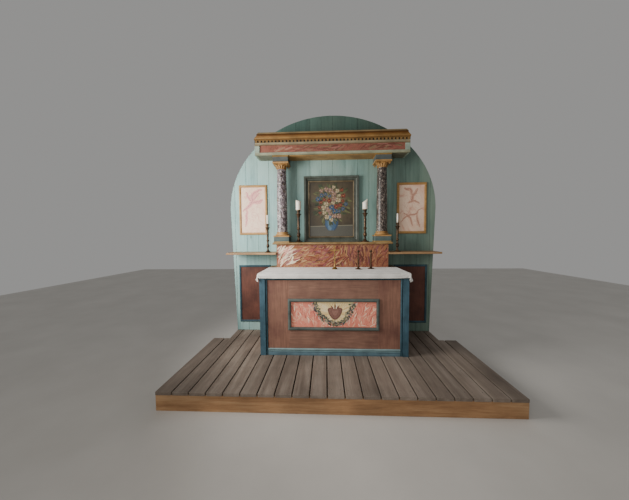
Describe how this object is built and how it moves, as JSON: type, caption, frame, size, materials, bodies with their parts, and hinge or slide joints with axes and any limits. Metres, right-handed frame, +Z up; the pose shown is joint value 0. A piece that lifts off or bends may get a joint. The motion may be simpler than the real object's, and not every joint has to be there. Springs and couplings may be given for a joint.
{
  "type": "chapel altar with columned altarpiece",
  "caption": "Wooden table altar on a boarded dais, backed by an arched boarded altarpiece with two columns, an entablature and a framed painting.",
  "frame": {"origin": "middle of the footprint's bounding box, at floor level", "axes": "+X to the right as seen from the front, +Y away from the viewer towards the wall, +Z up"},
  "size_m": [3.213, 1.543, 3.215],
  "materials": {
    "deck_wood": "weathered bare boards",
    "riser_wood": "knotty stained pine",
    "raw_wood": "rough sawn",
    "steel_blue_paint": "matte paint",
    "dark_teal_paint": "satin paint",
    "brown_red_paint": "mottled matte paint",
    "grey_teal_paint": "satin paint",
    "salmon_marbling": "painted marbling with leaf garlands",
    "linen": "plain woven linen",
    "pink_marbling": "painted diagonal marbling",
    "pale_green_paint": "matte paint",
    "ochre_paint": "satin ochre paint",
    "shelf_wood": "waxed plain board",
    "pale_green_boards": "matte paint on vertical boards",
    "flecked_marbling": "painted flecked marbling",
    "grey_green_paint": "satin paint",
    "terracotta_marbling": "painted veined marbling",
    "near_black_paint": "matte paint",
    "gold_ochre_paint": "satin paint",
    "dark_painting": "oil colours on a board",
    "pale_pink_marbling": "painted branching veins",
    "dark_bronze": "dull dark patina",
    "wax": "soft white wax",
    "dull_brass": "worn brass"
  },
  "bodies": {
    "root": {"deck_boards": "deck_wood", "riser_board": "riser_wood", "joists": "raw_wood", "altar_posts": "steel_blue_paint", "post_beads": "dark_teal_paint", "base_rail": "steel_blue_paint", "top_rail": "dark_teal_paint", "front_stiles": "brown_red_paint", "front_boards": "brown_red_paint", "panel_moulding": "grey_teal_paint", "painted_panel": "salmon_marbling", "altar_sides": "brown_red_paint", "altar_table": "raw_wood", "altar_cloth": "linen", "gradine_front": "pink_marbling", "gradine_ends": "pale_green_paint", "gradine_top": "ochre_paint", "left_shelf": "shelf_wood", "right_shelf": "shelf_wood", "lower_boarding": "pale_green_boards", "upper_boarding": "pale_green_boards", "back_battens": "raw_wood", "wainscot_panels": "brown_red_paint", "wainscot_mouldings": "dark_teal_paint", "left_column_base": "ochre_paint", "left_column_shaft": "flecked_marbling", "left_column_capital": "ochre_paint", "right_column_base": "ochre_paint", "right_column_shaft": "flecked_marbling", "right_column_capital": "ochre_paint", "base_blocks": "grey_green_paint", "capital_blocks": "grey_green_paint", "soffit_board": "ochre_paint", "soffit_panel": "ochre_paint", "frieze_frame": "pale_green_paint", "frieze_panel": "terracotta_marbling", "entablature_ends": "pale_green_paint", "dentil_ground": "near_black_paint", "dentils": "gold_ochre_paint", "cornice": "gold_ochre_paint", "picture_frame": "grey_teal_paint", "picture_slip": "ochre_paint", "picture_panel": "dark_painting", "side_frames": "ochre_paint", "side_panels": "pale_pink_marbling", "tall_candlesticks": "dark_bronze", "thick_candles": "wax", "slim_candlesticks": "dark_bronze", "tapers": "wax", "low_candlesticks": "dark_bronze", "standing_cross": "dull_brass"}
  },
  "joints": []
}
